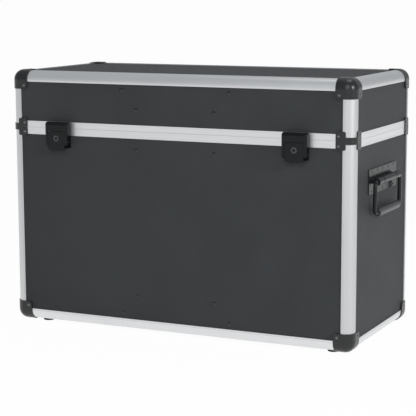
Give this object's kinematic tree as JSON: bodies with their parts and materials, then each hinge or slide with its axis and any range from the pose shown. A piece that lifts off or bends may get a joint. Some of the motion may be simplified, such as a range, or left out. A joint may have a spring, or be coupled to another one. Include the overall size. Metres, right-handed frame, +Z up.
{
  "type": "lighting flight case",
  "caption": "Rectangular transport case for light fixtures with a hinged lid, draw latches, side bar handles, rounded metal edges and padded compartments.",
  "frame": {"origin": "centre of the bounding box at the plane of the feet", "axes": "+X along the front towards the right handle, +Y towards the hinges, +Z up; the latches face -Y"},
  "size_m": [0.7552, 0.3535, 0.5126],
  "materials": {
    "laminate": "textured dark grey laminate on board",
    "aluminium_profile": "satin anodised",
    "black_cover": "black powder coat",
    "rivet_metal": "bright",
    "handle_steel": "dark grey satin coat",
    "grip_plastic": "moulded dark grey plastic",
    "channel_aluminium": "mill finish",
    "divider_board": "dark laminated plywood",
    "block_wood": "planed softwood",
    "foam": "charcoal foam",
    "foot_rubber": "black moulded",
    "latch_black": "black satin coat",
    "lock_metal": "nickel plated",
    "zinc_steel": "zinc plated"
  },
  "bodies": {
    "body": {"body_back_panel": "laminate", "body_bottom_long_profiles": "aluminium_profile", "body_bottom_panel": "laminate", "body_bottom_short_profiles": "aluminium_profile", "body_corner_caps": "black_cover", "body_cover_rivets": "rivet_metal", "body_divider_channels": "channel_aluminium", "body_dividers": "divider_board", "body_floor_foam": "foam", "body_foam_blocks": "block_wood", "body_front_panel": "laminate", "body_hinge_leaves": "zinc_steel", "body_left_panel": "laminate", "body_right_panel": "laminate", "body_rim_profiles": "aluminium_profile", "body_rivets": "rivet_metal", "body_split_corners": "black_cover", "body_upright_profiles": "aluminium_profile", "feet": "foot_rubber", "foot_screws": "zinc_steel", "handle_rivets": "handle_steel", "hinge_pins": "zinc_steel", "latch_bases": "latch_black", "latch_pivot_pins": "zinc_steel", "left_end_foam": "foam", "left_handle_bracket": "handle_steel", "right_end_foam": "foam", "right_handle_bracket": "handle_steel"},
    "lid": {"lid_back_panel": "laminate", "lid_corner_caps": "black_cover", "lid_cover_rivets": "rivet_metal", "lid_divider_channels": "channel_aluminium", "lid_dividers": "divider_board", "lid_foam": "foam", "lid_foam_blocks": "block_wood", "lid_front_panel": "laminate", "lid_hinge_leaves": "zinc_steel", "lid_left_panel": "laminate", "lid_right_panel": "laminate", "lid_rim_profiles": "aluminium_profile", "lid_rivets": "rivet_metal", "lid_split_corners": "black_cover", "lid_top_long_profiles": "aluminium_profile", "lid_top_panel": "laminate", "lid_top_short_profiles": "aluminium_profile", "lid_upright_profiles": "aluminium_profile", "latch_keepers": "latch_black"},
    "left_lever": {"left_latch_lever": "latch_black", "left_latch_claw_pin": "zinc_steel"},
    "left_claw": {"left_latch_claw": "latch_black"},
    "left_barrel": {"left_lock_barrel": "lock_metal"},
    "left_handle": {"left_handle_bail": "handle_steel", "left_handle_grip": "grip_plastic"},
    "right_lever": {"right_latch_lever": "latch_black", "right_latch_claw_pin": "zinc_steel"},
    "right_claw": {"right_latch_claw": "latch_black"},
    "right_barrel": {"right_lock_barrel": "lock_metal"},
    "right_handle": {"right_handle_bail": "handle_steel", "right_handle_grip": "grip_plastic"}
  },
  "joints": [
    {"name": "lid_hinge", "type": "hinge", "parent": "body", "child": "lid", "pos_m": [0, 0.17325, 0.399], "axis": [-1, 0, 0], "range_deg": [0, 100]},
    {"name": "left_latch_lever", "type": "hinge", "parent": "body", "child": "left_lever", "pos_m": [-0.2505, -0.17075, 0.3895], "axis": [-1, 0, 0], "range_deg": [0, 150]},
    {"name": "left_latch_claw", "type": "hinge", "parent": "left_lever", "child": "left_claw", "pos_m": [-0.2505, -0.17075, 0.373], "axis": [-1, 0, 0], "range_deg": [-172.5, 0]},
    {"name": "left_lock_turn", "type": "hinge", "parent": "left_lever", "child": "left_barrel", "pos_m": [-0.2505, -0.17575, 0.38], "axis": [0, 1, 0], "range_deg": [0, 90]},
    {"name": "right_latch_lever", "type": "hinge", "parent": "body", "child": "right_lever", "pos_m": [0.2505, -0.17075, 0.3895], "axis": [-1, 0, 0], "range_deg": [0, 150]},
    {"name": "right_latch_claw", "type": "hinge", "parent": "right_lever", "child": "right_claw", "pos_m": [0.2505, -0.17075, 0.373], "axis": [-1, 0, 0], "range_deg": [-172.5, 0]},
    {"name": "right_lock_turn", "type": "hinge", "parent": "right_lever", "child": "right_barrel", "pos_m": [0.2505, -0.17575, 0.38], "axis": [0, 1, 0], "range_deg": [0, 90]},
    {"name": "left_handle_swing", "type": "hinge", "parent": "body", "child": "left_handle", "pos_m": [-0.37, 0.00425, 0.314], "axis": [0, 1, 0], "range_deg": [0, 90]},
    {"name": "right_handle_swing", "type": "hinge", "parent": "body", "child": "right_handle", "pos_m": [0.37, 0.00425, 0.314], "axis": [0, -1, 0], "range_deg": [0, 90]}
  ],
  "couplings": [
    {"joint": "left_latch_claw", "follows": "left_latch_lever", "ratio": -1.15},
    {"joint": "right_latch_claw", "follows": "right_latch_lever", "ratio": -1.15}
  ]
}
